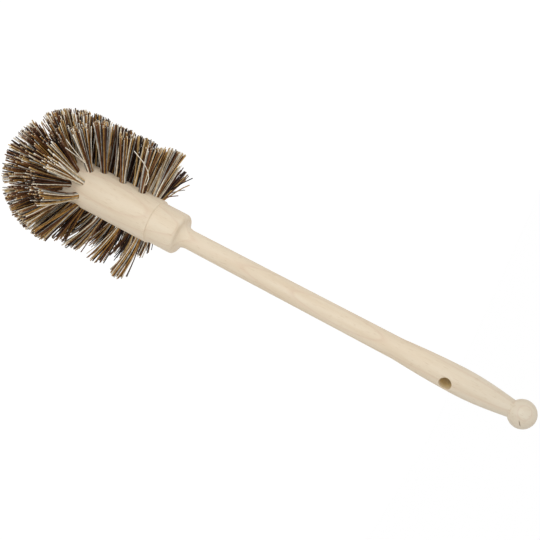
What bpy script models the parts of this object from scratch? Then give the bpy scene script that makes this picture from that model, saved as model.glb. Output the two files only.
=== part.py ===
"""Toilet brush: a turned beech body with tufts of stiff plant fibre in drilled holes.

The brush hangs head down. +Z runs from the bristles up to the ball end, and the
origin is the centre of the hanging hole, whose axis lies along Y. Angles about Z
are counted from -Y towards +X. Every length is in metres.
"""

import math
import random
from collections import namedtuple

import bmesh
import bpy
from mathutils import Matrix, Vector

# Turned body, from the ball end down to the nose.
BALL_DIAMETER = 0.0186
NECK_DIAMETER = 0.0116
HOLE_TO_NECK = 0.0420
GRIP_DIAMETER = 0.0182
HOLE_TO_GRIP_CREST = 0.0067
GRIP_CREST_TO_FOOT = 0.0433
GRIP_FOOT_DIAMETER = 0.0145
STEM_LENGTH = 0.1613
STEM_END_DIAMETER = 0.0132
STEM_FILLET = 0.0040
COLLAR_DIAMETER = 0.0283
COLLAR_CORNER = 0.0030
COLLAR_LENGTH = 0.0203
HEAD_DIAMETER = 0.0305
HEAD_EDGE_CORNER = 0.0005
HEAD_LENGTH = 0.0838
NOSE_CORNER = 0.0090
TURNING_STEPS = 36
MERGE_DISTANCE = 0.00001

# Hole that the brush hangs by, with its broken edge.
HANGING_HOLE_DIAMETER = 0.0085
HANGING_RIM = 0.0007
HANGING_HOLE_STEPS = 24

# Drilled holes of the tufts. The rings are counted from the collar to the nose.
TUFT_HOLE_DIAMETER = 0.0050
TUFT_HOLE_DEPTH = 0.0060
TUFT_HOLE_STEPS = 10
SHOULDER_TO_FIRST_RING = 0.0084
LAST_RING_TO_NOSE_CORNER = 0.0125
RING_LEANS_DEG = (2.0, 8.0, 11.0, 14.0, 16.0, 18.0, 20.0, 22.0)
TUFTS_PER_RING = 9
RINGS_TURN_DEG = -24.0
FULL_RINGS = 2
BARE_STRIP_CENTRE_DEG = -21.0
BARE_STRIP_HALF_DEG = 80.0

# Tufts of the nose: a ring on its round corner, a ring on its face and one at its centre.
NOSE_HOLE_DEPTH = 0.0042
NOSE_RING_LEAN_DEG = 46.0
NOSE_RING_TUFTS = 6
NOSE_RING_START_DEG = -69.0
FACE_RING_RADIUS = 0.0072
FACE_RING_LEAN_DEG = 72.0
FACE_RING_TUFTS = 3
FACE_RING_START_DEG = -39.0

# One tuft: a folded butt over its flat wire anchor, and the strands that fan out of it.
TUFT_CLEARANCE = 0.0003
BUTT_STAND = 0.0012
ANCHOR_WIDTH = 0.0016
ANCHOR_THICKNESS = 0.0005
FREE_FIBRE_LENGTH = 0.0318
STRANDS_PER_TUFT = 7
STRAND_SPACING = 0.00012
STRAND_BEND_SHARE = 0.42
STRAND_BEND_FAN_SHARE = 0.6
STRAND_BEND_WIDTH_SHARE = 0.95
STRAND_TIP_WIDTH_SHARE = 0.95
STRAND_FAN_SHARES = (1.0, 0.5, 0.9, 0.45, 1.0, 0.55, 0.85)
SIDE_FAN_SHARES = (0.21, 0.14)
NOSE_RING_FAN_SHARES = (0.36, 0.28)
FACE_RING_FAN_SHARES = (0.22, 0.20)
NOSE_TIP_FAN_SHARES = (0.20, 0.20)
FAN_JITTER_SHARE = 0.08
RANDOM_SEED = 11

# What the sizes above work out to.
BALL_RADIUS = BALL_DIAMETER / 2
NECK_RADIUS = NECK_DIAMETER / 2
GRIP_RADIUS = GRIP_DIAMETER / 2
COLLAR_RADIUS = COLLAR_DIAMETER / 2
HEAD_RADIUS = HEAD_DIAMETER / 2
HANGING_HOLE_RADIUS = HANGING_HOLE_DIAMETER / 2
TUFT_HOLE_RADIUS = TUFT_HOLE_DIAMETER / 2
NECK_Z = HOLE_TO_NECK
NECK_TO_BALL_CENTRE = math.sqrt(BALL_RADIUS**2 - NECK_RADIUS**2)
BALL_CENTRE_Z = NECK_Z + NECK_TO_BALL_CENTRE
GRIP_FOOT_Z = HOLE_TO_GRIP_CREST - GRIP_CREST_TO_FOOT
COLLAR_FACE_Z = GRIP_FOOT_Z - STEM_LENGTH
SHOULDER_Z = COLLAR_FACE_Z - COLLAR_LENGTH
NOSE_Z = SHOULDER_Z - HEAD_LENGTH
NOSE_CORNER_Z = NOSE_Z + NOSE_CORNER
FIRST_RING_Z = SHOULDER_Z - SHOULDER_TO_FIRST_RING
LAST_RING_Z = NOSE_CORNER_Z + LAST_RING_TO_NOSE_CORNER
RING_PITCH = (FIRST_RING_Z - LAST_RING_Z) / (len(RING_LEANS_DEG) - 1)
TRIM_RADIUS = HEAD_RADIUS + FREE_FIBRE_LENGTH
TRIM_CENTRE = Vector((0.0, 0.0, NOSE_Z - FREE_FIBRE_LENGTH + TRIM_RADIUS))
BUTT_RADIUS = TUFT_HOLE_RADIUS * math.cos(math.pi / TUFT_HOLE_STEPS) - TUFT_CLEARANCE
CUTTER_OVERRUN = TUFT_HOLE_RADIUS

TuftSite = namedtuple("TuftSite", "name mouth direction depth fan")


def arc(centre_x, centre_z, radius, start_deg, end_deg, steps):
    """Profile points along an arc. Zero degrees points along +X and 90 along +Z."""
    points = []
    for step in range(steps + 1):
        angle = math.radians(start_deg + (end_deg - start_deg) * step / steps)
        points.append((centre_x + radius * math.cos(angle), centre_z + radius * math.sin(angle)))
    return points


def ball_profile():
    """The ball from its pole down to the sharp neck."""
    neck_deg = -math.degrees(math.asin(NECK_TO_BALL_CENTRE / BALL_RADIUS))
    ball = arc(0.0, BALL_CENTRE_Z, BALL_RADIUS, 90.0, neck_deg, 12)
    return [(0.0, BALL_CENTRE_Z + BALL_RADIUS)] + ball[1:]


def grip_profile():
    """The swelling grip: a quarter cosine each way from its crest, to the neck and to the foot."""
    neck_side = quarter_cosine(NECK_RADIUS, NECK_Z, 8)
    foot_side = quarter_cosine(GRIP_FOOT_DIAMETER / 2, GRIP_FOOT_Z, 8)
    return neck_side[-2::-1] + foot_side[1:]


def quarter_cosine(end_radius, end_z, steps):
    """Profile points from the grip's crest out to one end, level at the crest."""
    points = []
    for step in range(steps + 1):
        share = step / steps
        fall = 1.0 - math.cos(math.pi / 2 * share)
        radius = GRIP_RADIUS - (GRIP_RADIUS - end_radius) * fall
        points.append((radius, HOLE_TO_GRIP_CREST + (end_z - HOLE_TO_GRIP_CREST) * share))
    return points


def collar_profile():
    """The fillet from the stem, the round-shouldered collar and the small step to the head."""
    stem_radius = STEM_END_DIAMETER / 2
    fillet_x = stem_radius + STEM_FILLET
    corner_x = COLLAR_RADIUS - COLLAR_CORNER
    step_x = HEAD_RADIUS - HEAD_EDGE_CORNER
    fillet = arc(fillet_x, COLLAR_FACE_Z + STEM_FILLET, STEM_FILLET, 180.0, 270.0, 5)
    corner = arc(corner_x, COLLAR_FACE_Z - COLLAR_CORNER, COLLAR_CORNER, 90.0, 0.0, 5)
    edge = arc(step_x, SHOULDER_Z - HEAD_EDGE_CORNER, HEAD_EDGE_CORNER, 90.0, 0.0, 2)
    return fillet + corner + [(COLLAR_RADIUS, SHOULDER_Z)] + edge


def nose_profile():
    """The round corner of the nose and its flat end."""
    corner_x = HEAD_RADIUS - NOSE_CORNER
    corner = arc(corner_x, NOSE_CORNER_Z, NOSE_CORNER, 0.0, -90.0, 6)
    return corner + [(0.0, NOSE_Z)]


def mesh_object(name, mesh, collection):
    """Put a mesh in the scene as an object of this collection."""
    obj = bpy.data.objects.new(name, mesh)
    collection.objects.link(obj)
    return obj


def turned_object(name, profile, steps, collection):
    """Spin a profile of (x, z) points, given from top to bottom, about Z."""
    mesh = bpy.data.meshes.new(name)
    corners = [(x, 0.0, z) for x, z in profile]
    edges = [(index, index + 1) for index in range(len(corners) - 1)]
    mesh.from_pydata(corners, edges, [])
    obj = mesh_object(name, mesh, collection)
    screw = obj.modifiers.new("Turn", "SCREW")
    screw.axis = "Z"
    screw.steps = steps
    screw.render_steps = steps
    screw.use_merge_vertices = True
    screw.merge_threshold = MERGE_DISTANCE
    screw.use_smooth_shade = True
    return obj


def principled(name, colour, roughness, metallic=0.0):
    """A plain material of one colour."""
    material = bpy.data.materials.new(name)
    material.use_nodes = True
    shader = material.node_tree.nodes["Principled BSDF"]
    shader.inputs["Base Color"].default_value = (*colour, 1.0)
    shader.inputs["Roughness"].default_value = roughness
    shader.inputs["Metallic"].default_value = metallic
    return material


def out_of_head(angle_deg, lean_deg):
    """Unit vector out of the head at an angle about Z, leaning towards the nose."""
    angle = math.radians(angle_deg)
    lean = math.radians(lean_deg)
    outward = Vector((math.sin(angle), -math.cos(angle), 0.0))
    return outward * math.cos(lean) - Vector((0.0, 0.0, math.sin(lean)))


def ring_angles(ring):
    """Angles of one ring's tufts. Rings are staggered, and all but the last two leave a bare strip."""
    pitch = 360.0 / TUFTS_PER_RING
    is_full = ring >= len(RING_LEANS_DEG) - FULL_RINGS
    stagger = pitch / 2 if ring % 2 == 0 else 0.0
    angles = []
    for index in range(TUFTS_PER_RING):
        turn = RINGS_TURN_DEG - BARE_STRIP_CENTRE_DEG + stagger + pitch * index
        offset = (turn + 180.0) % 360.0 - 180.0
        if is_full or abs(offset) > BARE_STRIP_HALF_DEG:
            angles.append(BARE_STRIP_CENTRE_DEG + offset)
    return sorted(angles)


def side_sites():
    """The tufts of the cylindrical part of the head, ring by ring."""
    sites = []
    for ring, lean_deg in enumerate(RING_LEANS_DEG):
        z = FIRST_RING_Z - RING_PITCH * ring
        for number, angle_deg in enumerate(ring_angles(ring), 1):
            mouth = out_of_head(angle_deg, 0.0) * HEAD_RADIUS + Vector((0.0, 0.0, z))
            direction = out_of_head(angle_deg, lean_deg)
            name = f"tuft_{'abcdefgh'[ring]}{number}"
            sites.append(TuftSite(name, mouth, direction, TUFT_HOLE_DEPTH, SIDE_FAN_SHARES))
    return sites


def nose_ring_sites():
    """The ring of tufts on the nose's round corner."""
    sites = []
    for index in range(NOSE_RING_TUFTS):
        angle_deg = NOSE_RING_START_DEG + 360.0 / NOSE_RING_TUFTS * index
        direction = out_of_head(angle_deg, NOSE_RING_LEAN_DEG)
        corner_axis = out_of_head(angle_deg, 0.0) * (HEAD_RADIUS - NOSE_CORNER)
        mouth = corner_axis + Vector((0.0, 0.0, NOSE_CORNER_Z)) + direction * NOSE_CORNER
        name = f"tuft_nose{index + 1}"
        sites.append(TuftSite(name, mouth, direction, NOSE_HOLE_DEPTH, NOSE_RING_FAN_SHARES))
    return sites


def nose_surface_z(radius):
    """Height of the nose's surface this far from the turning axis."""
    past_flat = max(0.0, radius - (HEAD_RADIUS - NOSE_CORNER))
    return NOSE_CORNER_Z - math.sqrt(NOSE_CORNER**2 - past_flat**2)


def face_sites():
    """The ring of tufts on the nose's face, and the one at its centre."""
    sites = []
    face = Vector((0.0, 0.0, nose_surface_z(FACE_RING_RADIUS)))
    for index in range(FACE_RING_TUFTS):
        angle_deg = FACE_RING_START_DEG + 360.0 / FACE_RING_TUFTS * index
        mouth = out_of_head(angle_deg, 0.0) * FACE_RING_RADIUS + face
        direction = out_of_head(angle_deg, FACE_RING_LEAN_DEG)
        name = f"tuft_face{index + 1}"
        sites.append(TuftSite(name, mouth, direction, NOSE_HOLE_DEPTH, FACE_RING_FAN_SHARES))
    tip = Vector((0.0, 0.0, NOSE_Z))
    down = Vector((0.0, 0.0, -1.0))
    sites.append(TuftSite("tuft_tip", tip, down, NOSE_HOLE_DEPTH, NOSE_TIP_FAN_SHARES))
    return sites


def site_matrix(site):
    """Local Z runs out of the hole, local X round the head and local Y along it."""
    across = Vector((-site.mouth.y, site.mouth.x, 0.0))
    if across.length < TUFT_CLEARANCE:
        across = Vector((1.0, 0.0, 0.0))
    across.normalize()
    along = site.direction.cross(across)
    rotation = Matrix((across, along, site.direction)).transposed()
    return Matrix.Translation(site.mouth) @ rotation.to_4x4()


def drill_cutter(site, collection):
    """The drill that makes one tuft's hole, running past the wood's surface."""
    bm = bmesh.new()
    length = site.depth + CUTTER_OVERRUN
    middle = Matrix.Translation((0.0, 0.0, CUTTER_OVERRUN - length / 2))
    bmesh.ops.create_cone(
        bm, cap_ends=True, segments=TUFT_HOLE_STEPS, radius1=TUFT_HOLE_RADIUS,
        radius2=TUFT_HOLE_RADIUS, depth=length, matrix=middle,
    )
    mesh = bpy.data.meshes.new(f"drill_{site.name}")
    bm.to_mesh(mesh)
    bm.free()
    cutter = mesh_object(mesh.name, mesh, collection)
    cutter.matrix_world = site_matrix(site)
    hide_cutter(cutter)


def hanging_cutter(collection):
    """The spool that cuts the hanging hole and breaks both its edges."""
    straight = GRIP_RADIUS - HANGING_RIM
    end = GRIP_RADIUS + CUTTER_OVERRUN
    flare = HANGING_HOLE_RADIUS + end - straight
    profile = [
        (0.0, end), (flare, end), (HANGING_HOLE_RADIUS, straight),
        (HANGING_HOLE_RADIUS, -straight), (flare, -end), (0.0, -end),
    ]
    cutter = turned_object("drill_hanging_hole", profile, HANGING_HOLE_STEPS, collection)
    cutter.rotation_euler = (math.pi / 2, 0.0, 0.0)
    hide_cutter(cutter)


def hide_cutter(cutter):
    """Keep a cutter out of the render and draw it as wire."""
    cutter.hide_render = True
    cutter.display_type = "WIRE"


def ray_to_trim_ball(offset, direction):
    """How far along direction a point meets a ball or cylinder of the trim's radius."""
    a = direction.dot(direction)
    b = 2 * offset.dot(direction)
    c = offset.dot(offset) - TRIM_RADIUS**2
    return (-b + math.sqrt(b * b - 4 * a * c)) / (2 * a)


def reach_of_trim(start, direction):
    """Distance from start to the trimmed outline, a cylinder that ends in a half ball."""
    if start.z > TRIM_CENTRE.z:
        flat_start = Vector((start.x, start.y, 0.0))
        flat_direction = Vector((direction.x, direction.y, 0.0))
        distance = ray_to_trim_ball(flat_start, flat_direction)
        if start.z + distance * direction.z >= TRIM_CENTRE.z:
            return distance
    return ray_to_trim_ball(start - TRIM_CENTRE, direction)


def anchor_on_butt(bm, bottom):
    """Draw the butt's underside in to a flat bar, the wire anchor that the tuft is folded over."""
    bmesh.ops.inset_individual(bm, faces=[bottom], thickness=STRAND_SPACING)
    half_width = max(abs(vert.co.y) for vert in bottom.verts)
    for vert in bottom.verts:
        vert.co.y *= ANCHOR_WIDTH / 2 / half_width
    bar = bmesh.ops.extrude_discrete_faces(bm, faces=[bottom])["faces"][0]
    bmesh.ops.translate(bm, verts=bar.verts, vec=(0.0, 0.0, -ANCHOR_THICKNESS))


def move_strand_faces(faces, centres, width_share):
    """Carry each strand's end face to its new centre and narrow it."""
    for face, centre in zip(faces, centres):
        old_centre = face.calc_center_median()
        for vert in face.verts:
            vert.co = centre + (vert.co - old_centre) * width_share


def strands_on_butt(bm, top, site, matrix, rng):
    """Split the butt's top into triangles and draw each one out to the trimmed outline."""
    wedges = bmesh.ops.poke(bm, faces=[top])["faces"]
    bmesh.ops.inset_individual(bm, faces=wedges, thickness=STRAND_SPACING)
    bends = []
    tips = []
    for wedge, fan_share in zip(wedges, STRAND_FAN_SHARES):
        start = wedge.calc_center_median()
        spread = Vector((start.x, start.y, 0.0)).normalized() * fan_share
        jitter = 1.0 + rng.uniform(-FAN_JITTER_SHARE, FAN_JITTER_SHARE)
        lean = Vector((spread.x * site.fan[0], spread.y * site.fan[1], 0.0)) * jitter
        straight = Vector((0.0, 0.0, 1.0))
        direction = (straight + lean).normalized()
        bend_direction = (straight + lean * STRAND_BEND_FAN_SHARE).normalized()
        reach = reach_of_trim(matrix @ start, matrix.to_3x3() @ direction)
        bends.append(start + bend_direction * reach * STRAND_BEND_SHARE)
        tips.append(start + direction * reach)
    faces = bmesh.ops.extrude_discrete_faces(bm, faces=wedges)["faces"]
    move_strand_faces(faces, bends, STRAND_BEND_WIDTH_SHARE)
    faces = bmesh.ops.extrude_discrete_faces(bm, faces=faces)["faces"]
    move_strand_faces(faces, tips, STRAND_TIP_WIDTH_SHARE)


def tuft(site, material, collection, rng):
    """One tuft: its butt and anchor in the hole, and its strands, as one closed solid."""
    matrix = site_matrix(site)
    bm = bmesh.new()
    bottom_z = TUFT_CLEARANCE + ANCHOR_THICKNESS - site.depth
    length = BUTT_STAND - bottom_z
    middle = Matrix.Translation((0.0, 0.0, bottom_z + length / 2))
    bmesh.ops.create_cone(
        bm, cap_ends=True, segments=STRANDS_PER_TUFT, radius1=BUTT_RADIUS,
        radius2=BUTT_RADIUS, depth=length, matrix=middle,
    )
    top = max(bm.faces, key=lambda face: face.calc_center_median().z)
    bottom = min(bm.faces, key=lambda face: face.calc_center_median().z)
    anchor_on_butt(bm, bottom)
    strands_on_butt(bm, top, site, matrix, rng)
    mesh = bpy.data.meshes.new(site.name)
    bm.to_mesh(mesh)
    bm.free()
    mesh.materials.append(material)
    obj = mesh_object(site.name, mesh, collection)
    obj.matrix_world = matrix
    return obj


def body(sites, material, collection, cutters):
    """The one-piece turned body, drilled for hanging and for every tuft."""
    profile = ball_profile() + grip_profile() + collar_profile() + nose_profile()
    obj = turned_object("wood_body", profile, TURNING_STEPS, collection)
    obj.data.materials.append(material)
    hanging_cutter(cutters)
    for site in sites:
        drill_cutter(site, cutters)
    drilled = obj.modifiers.new("Drill", "BOOLEAN")
    drilled.operation = "DIFFERENCE"
    drilled.operand_type = "COLLECTION"
    drilled.collection = cutters
    return obj


def new_collection(name):
    """Add a collection to the scene."""
    collection = bpy.data.collections.new(name)
    bpy.context.scene.collection.children.link(collection)
    return collection


def main():
    """Clear the scene and build the brush."""
    for obj in list(bpy.data.objects):
        bpy.data.objects.remove(obj, do_unlink=True)
    brush = new_collection("toilet_brush")
    cutters = new_collection("toilet_brush_cutters")
    cutters.hide_render = True
    beech = principled("beech", (0.70, 0.59, 0.44), 0.6)
    fibre = principled("plant_fibre", (0.21, 0.13, 0.06), 0.7)
    frame = bpy.data.objects.new("brush_frame", None)
    brush.objects.link(frame)
    sites = side_sites() + nose_ring_sites() + face_sites()
    rng = random.Random(RANDOM_SEED)
    pieces = [body(sites, beech, brush, cutters)]
    for site in sites:
        pieces.append(tuft(site, fibre, brush, rng))
    for piece in pieces:
        piece.parent = frame


main()
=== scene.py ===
"""Looks of a hanging toilet brush: a turned beech body full of plant-fibre tufts.

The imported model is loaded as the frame. The wooden body is turned, drilled and dressed
here again with finer steps, and every solid tuft makes way for a bundle of single
fibres. Lengths are in metres. +Z runs from the bristles up to the ball end, the origin
is the middle of the hanging hole, and angles about Z are counted from -Y towards +X.
"""

import logging
import math
import random
from dataclasses import dataclass, field, replace
from enum import Enum
from typing import Any, Optional

import bpy
from mathutils import Matrix, Vector

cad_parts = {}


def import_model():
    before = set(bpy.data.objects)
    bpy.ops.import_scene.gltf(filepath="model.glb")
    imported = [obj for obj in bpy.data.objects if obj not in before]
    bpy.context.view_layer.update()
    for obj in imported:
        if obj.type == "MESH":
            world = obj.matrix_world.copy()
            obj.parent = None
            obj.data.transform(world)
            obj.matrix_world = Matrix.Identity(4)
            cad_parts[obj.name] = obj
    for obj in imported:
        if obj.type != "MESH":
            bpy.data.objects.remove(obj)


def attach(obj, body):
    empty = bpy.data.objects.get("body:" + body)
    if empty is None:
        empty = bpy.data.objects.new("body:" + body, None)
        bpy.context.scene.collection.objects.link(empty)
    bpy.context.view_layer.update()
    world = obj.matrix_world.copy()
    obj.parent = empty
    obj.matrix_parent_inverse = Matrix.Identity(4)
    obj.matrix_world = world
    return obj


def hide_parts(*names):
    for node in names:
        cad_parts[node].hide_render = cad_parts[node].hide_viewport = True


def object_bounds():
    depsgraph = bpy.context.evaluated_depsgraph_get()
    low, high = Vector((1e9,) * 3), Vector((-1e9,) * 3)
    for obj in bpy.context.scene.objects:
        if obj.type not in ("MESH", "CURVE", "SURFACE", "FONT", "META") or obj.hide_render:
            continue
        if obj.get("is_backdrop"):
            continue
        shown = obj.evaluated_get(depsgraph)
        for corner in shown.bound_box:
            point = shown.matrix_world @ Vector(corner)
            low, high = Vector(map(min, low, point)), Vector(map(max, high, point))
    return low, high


Tree = bpy.types.NodeTree
Socket = bpy.types.NodeSocket
Pair = tuple[float, float]
Triple = tuple[float, float, float]

LOG = logging.getLogger("toilet_brush")
BODY = "root"
GOLDEN_ANGLE = math.pi * (3.0 - math.sqrt(5.0))
MERGE_DISTANCE = 0.000002
WHITE = "#FFFFFF"
UNIT_SPAN = (0.0, 1.0)

# Nearly all values of a noise texture lie between these two.
NOISE_SPAN = (0.3, 0.7)

# Settings of a mix node that multiplies two colours.
MULTIPLIED = {"data_type": "RGBA", "blend_type": "MULTIPLY", 0: 1.0}


# Small helpers

def linear(hex_colour: str) -> tuple[float, float, float, float]:
    """Turn an sRGB hex colour into linear RGBA.

    Args:
        hex_colour: A hash and six hex digits.

    Returns:
        The linear colour with an alpha of one.
    """
    channels = [int(hex_colour[at:at + 2], 16) / 255.0 for at in (1, 3, 5)]
    curve = [c / 12.92 if c <= 0.04045 else ((c + 0.055) / 1.055) ** 2.4 for c in channels]
    return (curve[0], curve[1], curve[2], 1.0)


def add_node(
    tree: Tree,
    kind: str,
    settings: Optional[dict[Any, Any]] = None,
    links: Optional[dict[Any, Socket]] = None,
) -> bpy.types.Node:
    """Add a shader node with its settings and links.

    Args:
        tree: The node tree that gets the node.
        kind: The node's type name, without the ShaderNode before it.
        settings: Property names, or input names or numbers, and their values.
        links: Input names or numbers, and the output sockets that feed them.

    Returns:
        The new node.
    """
    node = tree.nodes.new(f"ShaderNode{kind}")
    for name, value in (settings or {}).items():
        if isinstance(name, int) or name in node.inputs:
            node.inputs[name].default_value = value
        else:
            setattr(node, name, value)
    for name, source in (links or {}).items():
        tree.links.new(source, node.inputs[name])
    return node


def set_ramp(node: bpy.types.Node, stops: list[tuple[float, str]]) -> Socket:
    """Give a colour ramp its stops.

    Args:
        node: The colour ramp node.
        stops: Positions with a hex colour each.

    Returns:
        The ramp's colour output.
    """
    ramp = node.color_ramp
    while len(ramp.elements) < len(stops):
        ramp.elements.new(0.5)
    for element, (position, colour) in zip(ramp.elements, stops):
        element.position = position
        element.color = linear(colour)
    return node.outputs["Color"]


def spans(source: Pair, target: Pair = UNIT_SPAN) -> dict[str, float]:
    """Settings of a map range node, from one pair of values to another."""
    return {"From Min": source[0], "From Max": source[1], "To Min": target[0], "To Max": target[1]}


def new_material(name: str) -> tuple[bpy.types.Material, Tree, bpy.types.Node]:
    """Add a material.

    Args:
        name: Its name.

    Returns:
        The material, its node tree and its Principled shader.
    """
    material = bpy.data.materials.new(name)
    material.use_nodes = True
    return material, material.node_tree, material.node_tree.nodes["Principled BSDF"]


def seen_ray(tree: Tree) -> Socket:
    """Tell the rays that show a surface from those that light the object.

    Args:
        tree: The node tree of a material or of the world.

    Returns:
        One where the camera looks straight at a surface or through a mirror or glass.
    """
    path = add_node(tree, "LightPath")
    glossy = add_node(
        tree, "Math", {"operation": "MAXIMUM"},
        {0: path.outputs["Is Camera Ray"], 1: path.outputs["Is Glossy Ray"]},
    ).outputs[0]
    return add_node(
        tree, "Math", {"operation": "MAXIMUM"},
        {0: glossy, 1: path.outputs["Is Transmission Ray"]},
    ).outputs[0]


def pick(*objects: bpy.types.Object) -> None:
    """Select objects alone, in object mode, with the first one active.

    Args:
        objects: What is selected. Without any, all is deselected.
    """
    if bpy.context.object is not None and bpy.context.object.mode != "OBJECT":
        bpy.ops.object.mode_set(mode="OBJECT")
    bpy.ops.object.select_all(action="DESELECT")
    for obj in objects:
        obj.select_set(True)
    if objects:
        bpy.context.view_layer.objects.active = objects[0]


def edit_all() -> None:
    """Open the active object's mesh for editing, with all of it selected."""
    bpy.ops.object.mode_set(mode="EDIT")
    bpy.ops.mesh.select_all(action="SELECT")


def bake_place(obj: bpy.types.Object) -> None:
    """Move an object's place, turn and scale into its mesh."""
    pick(obj)
    bpy.ops.object.transform_apply(location=True, rotation=True, scale=True)


def cut(obj: bpy.types.Object, cutter: bpy.types.Object) -> None:
    """Take one object's shape out of another and remove the cutter.

    Args:
        obj: What is cut.
        cutter: The shape that is taken out.
    """
    pick(obj)
    drill = obj.modifiers.new("Drill", "BOOLEAN")
    drill.operation = "DIFFERENCE"
    drill.solver = "EXACT"
    drill.object = cutter
    bpy.ops.object.modifier_apply(modifier=drill.name)
    bpy.data.objects.remove(cutter, do_unlink=True)


def out_of_head(angle_deg: float, lean_deg: float) -> Vector:
    """Point out of the head.

    Args:
        angle_deg: The angle about Z.
        lean_deg: How far the direction leans towards the nose.

    Returns:
        The unit vector.
    """
    angle = math.radians(angle_deg)
    lean = math.radians(lean_deg)
    outward = Vector((math.sin(angle), -math.cos(angle), 0.0))
    return outward * math.cos(lean) - Vector((0.0, 0.0, math.sin(lean)))


def round_axis(angle_deg: float, radius: float, z: float) -> Vector:
    """The point at this angle about Z, this far from the axis and at this height."""
    return out_of_head(angle_deg, 0.0) * radius + Vector((0.0, 0.0, z))


# Finishes

@dataclass(frozen=True)
class TurnedBeech:
    """Steamed European beech, turned and fine-sanded, left without varnish.

    The eye gets a pale cream wood with a dull satin sheen, faint pinkish growth rings
    that run into long arches, short brown ray flecks along the grain and, close up,
    fine pores and the round marks of the sanding. The size of a pattern is how far
    its features lie apart across and along the grain.
    """

    cream: str = "#E5D6BE"
    shade: str = "#E4D4BC"
    ring_line: str = "#E0CDB5"
    pith: Triple = (0.0446, 0.0401, 0.0)
    ring_start: float = 0.0691
    ring_spacing: float = 0.0041
    ring_wander: float = 0.0009
    wander_size: Pair = (0.012, 0.035)
    bow_height: float = 0.0032
    bow_length: float = 0.1730
    bow_centre_z: float = -0.2535
    streak_size: Pair = (0.0045, 0.055)
    fleck: str = "#CDB697"
    fleck_size: Pair = (0.0007, 0.0042)
    fleck_noise: Pair = (0.62, 0.76)
    fleck_strength: float = 0.5
    mark: str = "#6A5039"
    mark_place: Triple = (-0.00030, -0.00917, 0.05055)
    mark_direction: Triple = (0.862, -0.022, 0.506)
    mark_size: Triple = (0.0012, 0.00042, 0.0030)
    mark_strength: float = 0.75
    # Painted shade: the hanging hole's wall turns darker and more golden towards its middle.
    painted_hole_shade: str = "#EDE2BA"
    hole_shade_radius: float = 0.0046
    hole_shade_depths: Pair = (0.0045, 0.0088)
    # Painted light: the grip and the ball end are tinted cooler and darker, for the light that falls there.
    painted_cool_light: str = "#F6FAFF"
    cool_light_z: Pair = (-0.020, 0.045)
    pore_size: Pair = (0.00025, 0.0060)
    pore_depth: float = 0.00006
    sanding_size: Pair = (0.0300, 0.0007)
    sanding_depth: float = 0.00008
    roughness: Pair = (0.46, 0.60)
    ior: float = 1.45

    def build(self) -> bpy.types.Material:
        """Make the material.

        Returns:
            The finished beech.
        """
        material, tree, shader = new_material("turned_beech")
        place = add_node(tree, "TexCoord").outputs["Object"]
        wood = add_node(
            tree, "Mix", MULTIPLIED,
            {6: self.growth_rings(tree, place), 7: self.streaks(tree, place)},
        ).outputs[2]
        spots = ((self.fleck, self.ray_flecks(tree, place)), (self.mark, self.ball_mark(tree, place)))
        for colour, share in spots:
            wood = add_node(
                tree, "Mix", {"data_type": "RGBA", 7: linear(colour)}, {0: share, 6: wood},
            ).outputs[2]
        # The hanging hole's wall gets its painted shade here.
        painted_hole_shade = add_node(
            tree, "Mix", {**MULTIPLIED, 7: linear(self.painted_hole_shade)},
            {0: self.hole_shade_share(tree, place), 6: wood},
        ).outputs[2]
        # The grip and the ball end get their painted cool light here.
        painted_cool_light = add_node(
            tree, "Mix", MULTIPLIED, {6: painted_hole_shade, 7: self.cool_light_tint(tree, place)},
        ).outputs[2]
        tree.links.new(painted_cool_light, shader.inputs["Base Color"])
        pores = self.pores(tree, place)
        roughness = add_node(
            tree, "MapRange", spans(NOISE_SPAN, self.roughness), {"Value": pores},
        ).outputs["Result"]
        tree.links.new(roughness, shader.inputs["Roughness"])
        tree.links.new(self.relief(tree, place, pores), shader.inputs["Normal"])
        shader.inputs["IOR"].default_value = self.ior
        return material

    def stretch(self, tree: Tree, place: Socket, size: Pair) -> Socket:
        """Scale places so that a pattern's features lie this far apart.

        Args:
            tree: The material's node tree.
            place: Object coordinates.
            size: The distance across and along the grain.

        Returns:
            The scaled coordinates.
        """
        across, along = size
        scale = (1.0 / across, 1.0 / across, 1.0 / along)
        return add_node(
            tree, "VectorMath", {"operation": "MULTIPLY", 1: scale}, {0: place},
        ).outputs["Vector"]

    def growth_rings(self, tree: Tree, place: Socket) -> Socket:
        """Colour the wood by its distance from the pith, which lies behind the brush.

        Args:
            tree: The material's node tree.
            place: Object coordinates.

        Returns:
            The colour of the rings.
        """
        from_pith = add_node(
            tree, "VectorMath", {"operation": "SUBTRACT", 1: self.pith}, {0: place},
        ).outputs["Vector"]
        flat = add_node(
            tree, "VectorMath", {"operation": "MULTIPLY", 1: (1.0, 1.0, 0.0)}, {0: from_pith},
        ).outputs["Vector"]
        distance = add_node(tree, "VectorMath", {"operation": "LENGTH"}, {0: flat}).outputs["Value"]
        wander = add_node(
            tree, "TexNoise", {"Scale": 1.0, "Detail": 1.5, "Roughness": 0.4},
            {"Vector": self.stretch(tree, place, self.wander_size)},
        ).outputs["Fac"]
        wandered = add_node(
            tree, "Math", {"operation": "MULTIPLY_ADD", 1: self.ring_wander},
            {0: wander, 2: distance},
        ).outputs[0]
        bowed = add_node(
            tree, "Math", {"operation": "ADD"},
            {0: wandered, 1: self.grain_bow(tree, place)},
        ).outputs[0]
        first_ring = (self.ring_start, self.ring_start + self.ring_spacing)
        rings = add_node(
            tree, "MapRange", {"clamp": False, **spans(first_ring)}, {"Value": bowed},
        ).outputs["Result"]
        share = add_node(tree, "Math", {"operation": "FRACT"}, {0: rings}).outputs[0]
        ramp = add_node(tree, "ValToRGB", {}, {"Fac": share})
        return set_ramp(ramp, [
            (0.00, self.cream), (0.50, self.cream), (0.80, self.shade),
            (0.92, self.ring_line), (0.97, self.shade), (1.00, self.cream),
        ])

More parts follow.
